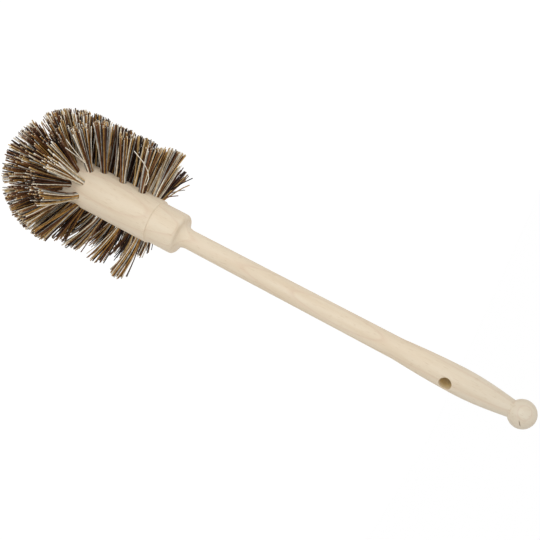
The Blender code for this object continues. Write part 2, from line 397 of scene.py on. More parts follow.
    def grain_bow(self, tree: Tree, place: Socket) -> Socket:
        """Let the grain wave, which turns the rings' cuts into long ovals.

        Args:
            tree: The material's node tree.
            place: Object coordinates.

        Returns:
            How far the grain dips at a height.
        """
        height = add_node(tree, "SeparateXYZ", {}, {"Vector": place}).outputs["Z"]
        one_wave = (self.bow_centre_z, self.bow_centre_z + self.bow_length)
        turn = add_node(
            tree, "MapRange", {"clamp": False, **spans(one_wave, (0.0, 2.0 * math.pi))},
            {"Value": height},
        ).outputs["Result"]
        wave = add_node(tree, "Math", {"operation": "COSINE"}, {0: turn}).outputs[0]
        return add_node(
            tree, "Math", {"operation": "MULTIPLY", 1: self.bow_height}, {0: wave},
        ).outputs[0]

    def streaks(self, tree: Tree, place: Socket) -> Socket:
        """Lay broad soft bands along the grain, a few per cent lighter and darker.

        Args:
            tree: The material's node tree.
            place: Object coordinates.

        Returns:
            The colour that the wood is multiplied by.
        """
        noise = add_node(
            tree, "TexNoise", {"Scale": 1.0, "Detail": 3.0, "Roughness": 0.55},
            {"Vector": self.stretch(tree, place, self.streak_size)},
        ).outputs["Fac"]
        ramp = add_node(tree, "ValToRGB", {}, {"Fac": noise})
        return set_ramp(ramp, [(0.30, "#F8F4EF"), (0.52, "#FDFBF9"), (0.70, WHITE)])

    def ray_flecks(self, tree: Tree, place: Socket) -> Socket:
        """Scatter ray flecks, drawn 0.5 mm wide, coarser than real, so that they show, and 3 mm long.

        Args:
            tree: The material's node tree.
            place: Object coordinates.

        Returns:
            The share of the flecks' colour.
        """
        noise = add_node(
            tree, "TexNoise", {"Scale": 1.0, "Detail": 1.0, "Roughness": 0.4},
            {"Vector": self.stretch(tree, place, self.fleck_size)},
        ).outputs["Fac"]
        return add_node(
            tree, "MapRange", spans(self.fleck_noise, (0.0, self.fleck_strength)),
            {"Value": noise},
        ).outputs["Result"]

    def ball_mark(self, tree: Tree, place: Socket) -> Socket:
        """Draw the short dark mark on the ball, 4.5 mm long and 0.6 mm wide, aslant the grain.

        Args:
            tree: The material's node tree.
            place: Object coordinates.

        Returns:
            The share of the mark's colour.
        """
        turn = Vector(self.mark_direction).to_track_quat("Z", "Y").to_euler()
        centred = add_node(
            tree, "Mapping",
            {
                "vector_type": "TEXTURE",
                "Location": self.mark_place, "Rotation": turn, "Scale": self.mark_size,
            },
            {"Vector": place},
        ).outputs["Vector"]
        distance = add_node(tree, "VectorMath", {"operation": "LENGTH"}, {0: centred}).outputs["Value"]
        return add_node(
            tree, "MapRange", spans((0.5, 1.0), (self.mark_strength, 0.0)),
            {"Value": distance},
        ).outputs["Result"]

    def hole_shade_share(self, tree: Tree, place: Socket) -> Socket:
        """Find the hanging hole's rough drilled wall, made darker and more golden towards the middle of the
        hole, which is painted shade of the recess.

        Args:
            tree: The material's node tree.
            place: Object coordinates.

        Returns:
            The share of the painted hole shade's colour.
        """
        from_drill = add_node(
            tree, "VectorMath", {"operation": "MULTIPLY", 1: (1.0, 0.0, 1.0)}, {0: place},
        ).outputs["Vector"]
        distance = add_node(
            tree, "VectorMath", {"operation": "LENGTH"}, {0: from_drill},
        ).outputs["Value"]
        in_hole = add_node(
            tree, "Math", {"operation": "LESS_THAN", 1: self.hole_shade_radius}, {0: distance},
        ).outputs[0]
        across = add_node(tree, "SeparateXYZ", {}, {"Vector": place}).outputs["Y"]
        depth = add_node(tree, "Math", {"operation": "ABSOLUTE"}, {0: across}).outputs[0]
        inside = add_node(
            tree, "MapRange", spans(self.hole_shade_depths, (1.0, 0.0)), {"Value": depth},
        ).outputs["Result"]
        return add_node(tree, "Math", {"operation": "MULTIPLY"}, {0: in_hole, 1: inside}).outputs[0]

    def cool_light_tint(self, tree: Tree, place: Socket) -> Socket:
        """Tint the grip and the ball end a little cooler and darker towards the ball, which is painted
        light: the cooler, dimmer light that falls there.

        Args:
            tree: The material's node tree.
            place: Object coordinates.

        Returns:
            The colour that the wood is multiplied by.
        """
        height = add_node(tree, "SeparateXYZ", {}, {"Vector": place}).outputs["Z"]
        share = add_node(tree, "MapRange", spans(self.cool_light_z), {"Value": height}).outputs["Result"]
        ramp = add_node(tree, "ValToRGB", {}, {"Fac": share})
        return set_ramp(ramp, [(0.0, WHITE), (1.0, self.painted_cool_light)])

    def pores(self, tree: Tree, place: Socket) -> Socket:
        """Draw the pores 0.25 mm wide, coarser than real, because finer ones wouldn't show.

        Args:
            tree: The material's node tree.
            place: Object coordinates.

        Returns:
            The noise of the pores.
        """
        return add_node(
            tree, "TexNoise", {"Scale": 1.0, "Detail": 2.0, "Roughness": 0.6},
            {"Vector": self.stretch(tree, place, self.pore_size)},
        ).outputs["Fac"]

    def relief(self, tree: Tree, place: Socket, pores: Socket) -> Socket:
        """Raise the pores and the round marks that sanding on the lathe leaves.

        The marks are drawn 0.7 mm apart, coarser than real, so that they show.

        Args:
            tree: The material's node tree.
            place: Object coordinates.
            pores: The noise of the pores.

        Returns:
            The surface's normal.
        """
        marks = add_node(
            tree, "TexNoise", {"Scale": 1.0, "Detail": 1.0},
            {"Vector": self.stretch(tree, place, self.sanding_size)},
        ).outputs["Fac"]
        pored = add_node(
            tree, "Bump", {"Strength": 0.25, "Distance": self.pore_depth}, {"Height": pores},
        ).outputs["Normal"]
        return add_node(
            tree, "Bump", {"Strength": 0.18, "Distance": self.sanding_depth},
            {"Height": marks, "Normal": pored},
        ).outputs["Normal"]


@dataclass(frozen=True)
class PlantFibre:
    """A stiff split plant fibre, dressed by two attributes of its tuft's mesh.

    fibre_shade is one number for each fibre, from its darkest to its palest dye or
    growth, and fibre_along runs from 0 at the hole to 1 at the trimmed end. The eye
    gets matt stalks of slightly different colours, mottled along their length, with
    dry cut ends in a colour of their own. Their ridges are drawn 0.4 mm wide, coarser
    than real, so that they show. Girth is a stalk's mean thickness against that of the
    common one.
    """

    name: str
    shades: tuple[str, ...]
    cut_end: str
    girth: float = 1.0
    mottle: str = "#CDC2B4"
    mottle_length: float = 0.0025
    cut_end_share: Pair = (0.980, 0.996)
    ridge_width: float = 0.0004
    ridge_depth: float = 0.00006
    roughness: Pair = (0.48, 0.72)
    sheen: float = 0.16

    def build(self) -> bpy.types.Material:
        """Make the material.

        Returns:
            The finished fibre.
        """
        material, tree, shader = new_material(self.name)
        shade = add_node(tree, "Attribute", {"attribute_name": "fibre_shade"}).outputs["Fac"]
        along = add_node(tree, "Attribute", {"attribute_name": "fibre_along"}).outputs["Fac"]
        place = add_node(tree, "TexCoord").outputs["Object"]
        last = len(self.shades) - 1
        stops = [(at / last, hex_colour) for at, hex_colour in enumerate(self.shades)]
        colour = set_ramp(add_node(tree, "ValToRGB", {}, {"Fac": shade}), stops)
        noise = add_node(
            tree, "TexNoise",
            {"Scale": 1.0 / self.mottle_length, "Detail": 2.0, "Roughness": 0.6}, {"Vector": place},
        ).outputs["Fac"]
        spots = add_node(tree, "ValToRGB", {}, {"Fac": noise})
        mottled = add_node(
            tree, "Mix", MULTIPLIED,
            {6: colour, 7: set_ramp(spots, [(0.35, self.mottle), (0.60, WHITE)])},
        ).outputs[2]
        tip = add_node(tree, "MapRange", spans(self.cut_end_share), {"Value": along}).outputs["Result"]
        finished = add_node(
            tree, "Mix", {"data_type": "RGBA", 7: linear(self.cut_end)}, {0: tip, 6: mottled},
        ).outputs[2]
        tree.links.new(finished, shader.inputs["Base Color"])
        rough = add_node(
            tree, "MapRange", spans(NOISE_SPAN, self.roughness), {"Value": noise},
        ).outputs["Result"]
        tree.links.new(rough, shader.inputs["Roughness"])
        ridges = add_node(
            tree, "TexNoise", {"Scale": 1.0 / self.ridge_width, "Detail": 1.0}, {"Vector": place},
        ).outputs["Fac"]
        bump = add_node(
            tree, "Bump", {"Strength": 0.5, "Distance": self.ridge_depth}, {"Height": ridges},
        ).outputs["Normal"]
        tree.links.new(bump, shader.inputs["Normal"])
        shader.inputs["Specular IOR Level"].default_value = self.sheen
        return material


@dataclass(frozen=True)
class ZincWire:
    """Flat zinc-coated steel wire, rolled. A dull blue-grey metal with a fine crystal bloom."""

    bright: str = "#A9ABAC"
    dull: str = "#85888B"
    bloom_size: float = 0.0006
    roughness: Pair = (0.35, 0.55)

    def build(self) -> bpy.types.Material:
        """Make the material.

        Returns:
            The finished wire.
        """
        material, tree, shader = new_material("zinc_wire")
        place = add_node(tree, "TexCoord").outputs["Object"]
        bloom = add_node(
            tree, "TexNoise", {"Scale": 1.0 / self.bloom_size, "Detail": 2.0}, {"Vector": place},
        ).outputs["Fac"]
        ramp = add_node(tree, "ValToRGB", {}, {"Fac": bloom})
        colour = set_ramp(ramp, [(0.35, self.dull), (0.65, self.bright)])
        tree.links.new(colour, shader.inputs["Base Color"])
        rough = add_node(
            tree, "MapRange", spans(UNIT_SPAN, self.roughness), {"Value": bloom},
        ).outputs["Result"]
        tree.links.new(rough, shader.inputs["Roughness"])
        shader.inputs["Metallic"].default_value = 1.0
        return material


@dataclass(frozen=True)
class PalePaper:
    """Background paper, off the roll. A matt near-white that glows a little where it is seen.

    Its faint clouds are drawn 17 mm wide, coarser than real, so that they show.
    """

    white: str = "#F8F8F8"
    grey: str = "#F4F4F3"
    cloud_scale: float = 60.0
    roughness: float = 0.9
    glow: float = 0.35

    def build(self) -> bpy.types.Material:
        """Make the material.

        Returns:
            The finished paper.
        """
        material, tree, shader = new_material("pale_paper")
        place = add_node(tree, "TexCoord").outputs["Object"]
        clouds = add_node(
            tree, "TexNoise", {"Scale": self.cloud_scale, "Detail": 2.0}, {"Vector": place},
        ).outputs["Fac"]
        ramp = add_node(tree, "ValToRGB", {}, {"Fac": clouds})
        colour = set_ramp(ramp, list(zip(NOISE_SPAN, (self.grey, self.white))))
        tree.links.new(colour, shader.inputs["Base Color"])
        shader.inputs["Roughness"].default_value = self.roughness
        lift = add_node(
            tree, "Math", {"operation": "MULTIPLY", 1: self.glow}, {0: seen_ray(tree)},
        ).outputs[0]
        shader.inputs["Emission Color"].default_value = linear(WHITE)
        tree.links.new(lift, shader.inputs["Emission Strength"])
        return material


class Stalk(Enum):
    """The fibres that are mixed in the tufts, each with its finish."""

    STRAW = PlantFibre(
        "bleached_tampico", ("#DDD1B8", "#F0E5CF", "#FFF8EA"), "#FBF6EB", girth=1.10, mottle="#E2DACE",
    )
    GREY = PlantFibre("weathered_tampico", ("#8B8983", "#ABAAA4", "#CBC8C0"), "#DAD6CC", girth=0.90)
    GOLD = PlantFibre("golden_palmyra", ("#8E642F", "#BB8F50", "#DCBC82"), "#E0CFAF")
    BROWN = PlantFibre("brown_palmyra", ("#4C2E1E", "#6C442A", "#8C6240"), "#B9A388")
    DARK = PlantFibre("dark_palmyra", ("#100B0A", "#231712", "#3B261B"), "#7A6653")


# Turned body

@dataclass
class TurnedBody:
    """The one-piece beech body: ball end, grip, stem, collar and drilled head.

    The stem runs into the collar by a quarter of an ellipse, stem_fillet wide and
    stem_fillet_rise high.
    """

    ball_radius: float = 0.0093
    neck_radius: float = 0.0058
    neck_z: float = 0.0420
    grip_radius: float = 0.0091
    grip_crest_z: float = 0.0067
    grip_foot_radius: float = 0.00725
    grip_foot_z: float = -0.0366
    stem_end_radius: float = 0.0066
    stem_fillet: float = 0.0046
    stem_fillet_rise: float = 0.0070
    collar_face_z: float = -0.1979
    collar_radius: float = 0.01415
    collar_corner: float = 0.0028
    shoulder_z: float = -0.2182
    head_radius: float = 0.01525
    head_edge_corner: float = 0.0005
    nose_z: float = -0.3020
    nose_corner: float = 0.0090
    hanging_hole_radius: float = 0.00425
    hanging_rim: float = 0.0006
    tuft_hole_radius: float = 0.0025

    turning_steps: int = 144
    ball_steps: int = 30
    grip_steps: int = 34
    stem_steps: int = 32
    corner_steps: int = 12
    collar_steps: int = 8
    shoulder_steps: int = 5
    head_edge_steps: int = 4
    head_steps: int = 40
    nose_steps: int = 16
    hanging_hole_sides: int = 48
    hanging_rim_steps: int = 4
    tuft_hole_sides: int = 24
    smooth_angle_deg: float = 28.0

    @property
    def ball_centre_z(self) -> float:
        """Height of the ball's centre."""
        return self.neck_z + math.sqrt(self.ball_radius**2 - self.neck_radius**2)

    def arc(self, centre: Pair, radius: float, start_deg: float, end_deg: float, steps: int) -> list[Pair]:
        """Run the profile round an arc.

        Args:
            centre: Its centre, as radius and height.
            radius: Its radius.
            start_deg: Where it starts. Zero degrees points away from the axis.
            end_deg: Where it ends.
            steps: How many edges it has.

        Returns:
            Its points, as radius and height.
        """
        points = []
        for step in range(steps + 1):
            angle = math.radians(start_deg + (end_deg - start_deg) * step / steps)
            points.append((centre[0] + radius * math.cos(angle), centre[1] + radius * math.sin(angle)))
        return points

    def straight(self, radius: float, start_z: float, end_z: float, steps: int) -> list[Pair]:
        """Points down a straight stretch, without its first one."""
        return [(radius, start_z + (end_z - start_z) * step / steps) for step in range(1, steps + 1)]

    def grip_radius_at(self, z: float) -> float:
        """Measure the grip, which is a quarter cosine each way from its crest.

        Args:
            z: A height on the grip.

        Returns:
            The radius there.
        """
        upper = z > self.grip_crest_z
        end_radius = self.neck_radius if upper else self.grip_foot_radius
        end_z = self.neck_z if upper else self.grip_foot_z
        share = (z - self.grip_crest_z) / (end_z - self.grip_crest_z)
        return self.grip_radius - (self.grip_radius - end_radius) * (1.0 - math.cos(math.pi / 2 * share))

    def handle_profile(self) -> list[Pair]:
        """Draw the outline of the ball, the grip and the stem.

        Returns:
            The points from the ball's pole down to the collar's end face.
        """
        rise = self.ball_centre_z - self.neck_z
        neck_deg = -math.degrees(math.asin(rise / self.ball_radius))
        points = self.arc((0.0, self.ball_centre_z), self.ball_radius, 90.0, neck_deg, self.ball_steps)
        for step in range(1, self.grip_steps + 1):
            z = self.neck_z + (self.grip_foot_z - self.neck_z) * step / self.grip_steps
            points.append((self.grip_radius_at(z), z))
        stem_end_z = self.collar_face_z + self.stem_fillet_rise
        for step in range(1, self.stem_steps):
            share = step / self.stem_steps
            radius = self.grip_foot_radius + (self.stem_end_radius - self.grip_foot_radius) * share
            points.append((radius, self.grip_foot_z + (stem_end_z - self.grip_foot_z) * share))
        stretch = self.stem_fillet_rise / self.stem_fillet
        centre = (self.stem_end_radius + self.stem_fillet, 0.0)
        for radius, drop in self.arc(centre, self.stem_fillet, 180.0, 270.0, self.corner_steps):
            points.append((radius, stem_end_z + drop * stretch))
        return points

    def head_profile(self) -> list[Pair]:
        """Draw the outline of the collar, the shoulder and the head.

        Returns:
            The points from the collar's end face down to the middle of the nose.
        """
        corner_z = self.collar_face_z - self.collar_corner
        corner_centre = (self.collar_radius - self.collar_corner, corner_z)
        points = self.arc(corner_centre, self.collar_corner, 90.0, 0.0, self.corner_steps)
        fillet = self.head_radius - self.head_edge_corner - self.collar_radius
        fillet_centre = (self.collar_radius + fillet, self.shoulder_z + fillet)
        points += self.straight(self.collar_radius, points[-1][1], fillet_centre[1], self.collar_steps)
        points += self.arc(fillet_centre, fillet, 180.0, 270.0, self.shoulder_steps)[1:]
        edge_z = self.shoulder_z - self.head_edge_corner
        edge_centre = (self.head_radius - self.head_edge_corner, edge_z)
        points += self.arc(edge_centre, self.head_edge_corner, 90.0, 0.0, self.head_edge_steps)[1:]
        nose_centre = (self.head_radius - self.nose_corner, self.nose_z + self.nose_corner)
        points += self.straight(self.head_radius, points[-1][1], nose_centre[1], self.head_steps)[:-1]
        points += self.arc(nose_centre, self.nose_corner, 0.0, -90.0, self.nose_steps)
        points.append((nose_centre[0] / 2, self.nose_z))
        points.append((0.0, self.nose_z))
        return points

    def turn(self) -> bpy.types.Object:
        """Draw the profile as a chain of edges and spin it about Z.

        Returns:
            The undrilled body.
        """
        profile = self.handle_profile() + self.head_profile()
        pick()
        bpy.ops.mesh.primitive_plane_add(size=self.ball_radius, location=(0.0, 0.0, profile[0][1]))
        body = bpy.context.object
        body.name = "beech_body"
        bake_place(body)
        edit_all()
        bpy.ops.mesh.merge(type="CENTER")
        for (radius, z), (next_radius, next_z) in zip(profile, profile[1:]):
            step = (next_radius - radius, 0.0, next_z - z)
            bpy.ops.mesh.extrude_region_move(TRANSFORM_OT_translate={"value": step})
        bpy.ops.mesh.select_all(action="SELECT")
        bpy.ops.mesh.spin(
            steps=self.turning_steps, angle=2.0 * math.pi, center=(0.0, 0.0, 0.0), axis=(0.0, 0.0, 1.0),
        )
        bpy.ops.mesh.select_all(action="SELECT")
        bpy.ops.mesh.remove_doubles(threshold=MERGE_DISTANCE)
        bpy.ops.mesh.normals_make_consistent(inside=False)
        bpy.ops.object.mode_set(mode="OBJECT")
        return body

    def hanging_cutter(self) -> bpy.types.Object:
        """Model a spool for the hanging hole, whose flares follow the grip's round side.

        Its end rings are flat and stand clear of the grip, so that the caps leave no wood.

        Returns:
            The cutter, along Y.
        """
        rim = []
        for step in range(self.hanging_rim_steps + 1):
            angle = math.radians(90.0 * step / self.hanging_rim_steps)
            wider = self.hanging_rim * (1.0 - math.cos(angle))
            rim.append((wider, self.hanging_rim * (math.sin(angle) - 1.0)))
        rim += [(rim[-1][0] + self.hanging_rim, self.hanging_rim)] * 2
        rings = [(wider, rise, 1.0) for wider, rise in reversed(rim)]
        rings += [(wider, rise, -1.0) for wider, rise in rim]
        pick()
        bpy.ops.mesh.primitive_circle_add(
            vertices=self.hanging_hole_sides, radius=self.hanging_hole_radius,
            rotation=(math.pi / 2, 0.0, 0.0),
        )
        cutter = bpy.context.object
        bake_place(cutter)
        circle = [vert.co.copy() for vert in cutter.data.vertices]
        edit_all()
        step = (0.0, -self.hanging_rim, 0.0)
        for _ in rings[1:]:
            bpy.ops.mesh.extrude_region_move(TRANSFORM_OT_translate={"value": step})
        bpy.ops.object.mode_set(mode="OBJECT")
        for number, (wider, rise, side) in enumerate(rings):
            is_end = number in (0, len(rings) - 1)
            for at, spoke in enumerate(circle):
                wide = spoke * (1.0 + wider / self.hanging_hole_radius)
                surface = math.sqrt(self.grip_radius_at(wide.z) ** 2 - wide.x**2)
                reach = self.grip_radius + 2.0 * self.hanging_rim if is_end else surface + rise
                cutter.data.vertices[number * len(circle) + at].co = (wide.x, side * reach, wide.z)
        edit_all()
        bpy.ops.mesh.fill_holes(sides=0)
        bpy.ops.mesh.select_all(action="SELECT")
        bpy.ops.mesh.normals_make_consistent(inside=False)
        bpy.ops.object.mode_set(mode="OBJECT")
        return cutter

    def drill_cutter(self, sites: list["TuftSite"]) -> bpy.types.Object:
        """Join all the tuft drills into one cutter.

        Each drill stands out of its hole by the hole's radius.

        Args:
            sites: Where the tufts stand.

        Returns:
            The cutter.
        """
        drills = []
        for site in sites:
            middle = site.mouth + site.direction * ((self.tuft_hole_radius - site.depth) / 2)
            pick()
            bpy.ops.mesh.primitive_cylinder_add(
                vertices=self.tuft_hole_sides, radius=self.tuft_hole_radius,
                depth=site.depth + self.tuft_hole_radius,
                location=middle, rotation=site.matrix().to_euler(),
            )
            drills.append(bpy.context.object)
        pick(*drills)
        bpy.ops.object.join()
        cutter = bpy.context.object
        bake_place(cutter)
        return cutter

    def build(self, sites: list["TuftSite"]) -> bpy.types.Object:
        """Turn, drill and dress the body.

        Args:
            sites: Where the tufts stand.

        Returns:
            The finished body.
        """
        body = self.turn()
        cut(body, self.hanging_cutter())
        cut(body, self.drill_cutter(sites))
        pick(body)
        bpy.ops.object.shade_smooth_by_angle(angle=math.radians(self.smooth_angle_deg))
        body.data.materials.clear()
        body.data.materials.append(TurnedBeech().build())
        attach(body, BODY)
        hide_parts("wood_body")
        return body


# Bristles

@dataclass(frozen=True)
class TuftSite:
    """One drilled hole and the tuft in it, which fans out round the head and along it."""

    name: str
    mouth: Vector
    direction: Vector
    fan: Pair
    node: Optional[str] = None
    depth: float = 0.0060

    def matrix(self) -> Matrix:
        """Place the tuft's own frame.

        Returns:
            The frame, with Z out of the hole, X round the head and Y along it.
        """
        across = Vector((-self.mouth.y, self.mouth.x, 0.0))
        if across.length < MERGE_DISTANCE:
            across = Vector((1.0, 0.0, 0.0))
        across.normalize()
        along = self.direction.cross(across)
        turn = Matrix((across, along, self.direction)).transposed()
        return Matrix.Translation(self.mouth) @ turn.to_4x4()


@dataclass(frozen=True)
class TuftRing:
    """A ring of evenly spaced tufts that lean alike. Only a ring on the head's side gives its z."""

    count: int
    start_deg: float
    lean_deg: float
    z: float = 0.0

    def angles(self) -> list[float]:
        """Angles of the tufts about Z."""
        return [self.start_deg + 360.0 / self.count * index for index in range(self.count)]


@dataclass
class TuftPattern:
    """Where the tufts stand on the head: staggered rings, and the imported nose.

    All but the last rings leave a bare strip of wood on one side.
    """

    body: TurnedBody
    first_ring_z: float = -0.2266
    ring_pitch: float = 0.0077
    ring_letters: str = "abcdefgh"
    ring_leans_deg: tuple[float, ...] = (2.0, 8.0, 11.0, 14.0, 16.0, 18.0, 20.0, 22.0)
    tufts_per_ring: int = 9
    pattern_turn_deg: float = -24.0
    full_rings: int = 2
    strip_centre_deg: float = -21.0
    strip_half_deg: float = 80.0
    side_fan: Pair = (0.17, 0.13)
    nose_fan: Pair = (0.24, 0.22)
    nose_hole_depth: float = 0.0042
    nose_ring: TuftRing = TuftRing(6, -69.0, 46.0)
    face_ring: TuftRing = TuftRing(3, -39.0, 72.0)
    face_radius: float = 0.0072
    filler_letters: str = "jk"
    filler_rings: tuple[TuftRing, ...] = (
        TuftRing(9, -4.0, 31.0, -0.2864),
        TuftRing(9, -24.0, 38.0, -0.2932),
    )

    def ring_angles(self, ring: int) -> list[float]:
        """Space the tufts of a ring on the head's side, clear of the bare strip.

        Args:
            ring: The ring's number, from the collar.

        Returns:
            Their angles, in rising order.
        """
        pitch = 360.0 / self.tufts_per_ring
        full = ring >= len(self.ring_leans_deg) - self.full_rings
        stagger = pitch / 2 if ring % 2 == 0 else 0.0
        angles = []
        for index in range(self.tufts_per_ring):
            turn = self.pattern_turn_deg + stagger + pitch * index
            offset = (turn - self.strip_centre_deg + 180.0) % 360.0 - 180.0
            if full or abs(offset) > self.strip_half_deg:
                angles.append(self.strip_centre_deg + offset)
        return sorted(angles)

    def side_sites(self) -> list[TuftSite]:
        """Place the rings on the cylinder of the head, named as the solids are.

        Returns:
            The sites of the tufts.
        """
        sites = []
        for ring, (letter, lean_deg) in enumerate(zip(self.ring_letters, self.ring_leans_deg)):
            z = self.first_ring_z - self.ring_pitch * ring
            for number, angle_deg in enumerate(self.ring_angles(ring), 1):
                label = f"{letter}{number}"
                mouth = round_axis(angle_deg, self.body.head_radius, z)
                direction = out_of_head(angle_deg, lean_deg)
                sites.append(TuftSite(label, mouth, direction, self.side_fan, f"tuft_{label}"))
        return sites

    def nose_sites(self) -> list[TuftSite]:
        """Place the ring on the nose's round corner, the ring on its face and the tuft at its centre.

        Returns:
            The sites of the tufts.
        """
        corner = self.body.nose_corner
        flat_radius = self.body.head_radius - corner
        corner_z = self.body.nose_z + corner
        sites = []
        for index, angle_deg in enumerate(self.nose_ring.angles(), 1):
            direction = out_of_head(angle_deg, self.nose_ring.lean_deg)
            outward = out_of_head(angle_deg, 0.0)
            mouth = outward * flat_radius + direction * corner + Vector((0.0, 0.0, corner_z))
            sites.append(self.nose_site(f"nose{index}", mouth, direction))
        face_z = corner_z - math.sqrt(corner**2 - (self.face_radius - flat_radius) ** 2)
        for index, angle_deg in enumerate(self.face_ring.angles(), 1):
            mouth = round_axis(angle_deg, self.face_radius, face_z)
            direction = out_of_head(angle_deg, self.face_ring.lean_deg)
            sites.append(self.nose_site(f"face{index}", mouth, direction))
        tip = Vector((0.0, 0.0, self.body.nose_z))
        sites.append(self.nose_site("tip", tip, Vector((0.0, 0.0, -1.0))))
        return sites

    def nose_site(self, label: str, mouth: Vector, direction: Vector) -> TuftSite:
        """A site of the nose that a solid tuft stands in too."""
        return TuftSite(label, mouth, direction, self.nose_fan, f"tuft_{label}", self.nose_hole_depth)

    def filler_sites(self) -> list[TuftSite]:
        """Place the tufts between those of the solids, which pack the front of the head.

        Returns:
            The sites of the tufts, which replace no node.
        """
        sites = []
        for letter, ring in zip(self.filler_letters, self.filler_rings):
            for index, angle_deg in enumerate(ring.angles(), 1):
                mouth = round_axis(angle_deg, self.body.head_radius, ring.z)
                direction = out_of_head(angle_deg, ring.lean_deg)
                sites.append(TuftSite(
                    f"{letter}{index}", mouth, direction, self.nose_fan, None, self.nose_hole_depth,
                ))
        return sites

    def sites(self) -> list[TuftSite]:
        """Every tuft of the brush."""
        return self.side_sites() + self.nose_sites() + self.filler_sites()


@dataclass
class Trim:
    """The outline that all fibres are cut to: a cylinder that ends in a half ball.

    The ring next to the collar is left a little longer.
    """

    radius: float = 0.04705
    centre_z: float = -0.28675
    flare: float = 0.0020
    flare_z: Pair = (-0.242, -0.230)

    def overshoot(self, point: Vector) -> float:
        """Measure how far a point stands outside the trimmed outline.

        Args:
            point: The point, in the frame's own coordinates.

        Returns:
            The distance, below zero inside the outline.
        """
        if point.z > self.centre_z:
            share = (point.z - self.flare_z[0]) / (self.flare_z[1] - self.flare_z[0])
            return math.hypot(point.x, point.y) - self.radius - self.flare * min(max(share, 0.0), 1.0)
        return (point - Vector((0.0, 0.0, self.centre_z))).length - self.radius


@dataclass
class FibreCourse:
    """The line that one fibre takes out of its hole, in the tuft's own frame.

    It starts at its seat along the hole, eases into its slope and has a bow and a
    wave. The whole tuft's set-off grows to its full size at full_reach.
    """

    seat: Vector
    slope: Vector
    bow: Vector
    wave: Vector
    wave_length: float
    phase: float
    set_off: Vector
    ease: float = 0.0035
    full_reach: float = 0.0330
    set_off_power: float = 1.5

    def at(self, reach: float) -> Vector:
        """Follow the fibre.

        Args:
            reach: How far out of the hole.

        Returns:
            The fibre's point there.
        """
        if reach <= 0.0:
            return Vector((self.seat.x, self.seat.y, reach))
        eased = reach - self.ease * (1.0 - math.exp(-reach / self.ease))
        swing = math.sin(2.0 * math.pi * reach / self.wave_length + self.phase) - math.sin(self.phase)
        side = self.seat + self.slope * eased + self.bow * reach * reach + self.wave * swing
        side += self.set_off * (reach / self.full_reach) ** self.set_off_power
        return Vector((side.x, side.y, reach))


@dataclass(frozen=True)
class Stray:
    """A fibre that has slipped its tuft and stands off by itself."""

    tuft: str
    stalk: Stalk
    slope: Pair
    bow: Pair
    reach: float
    girth: float = 0.8
    shade: float = 0.9

    def course(self) -> FibreCourse:
        """Lay the fibre out in a smooth line from the middle of the hole.

        Returns:
            The fibre's line.
        """
        return FibreCourse(
            seat=Vector(), slope=Vector((*self.slope, 0.0)), bow=Vector((*self.bow, 0.0)),
            wave=Vector(), wave_length=self.reach, phase=0.0, set_off=Vector(),
        )


@dataclass
class Strand:
    """One fibre ready to draw: its line, its length out of the hole and its looks."""

    course: FibreCourse
    reach: float
    stalk: Stalk
    girth: float
    shade: float


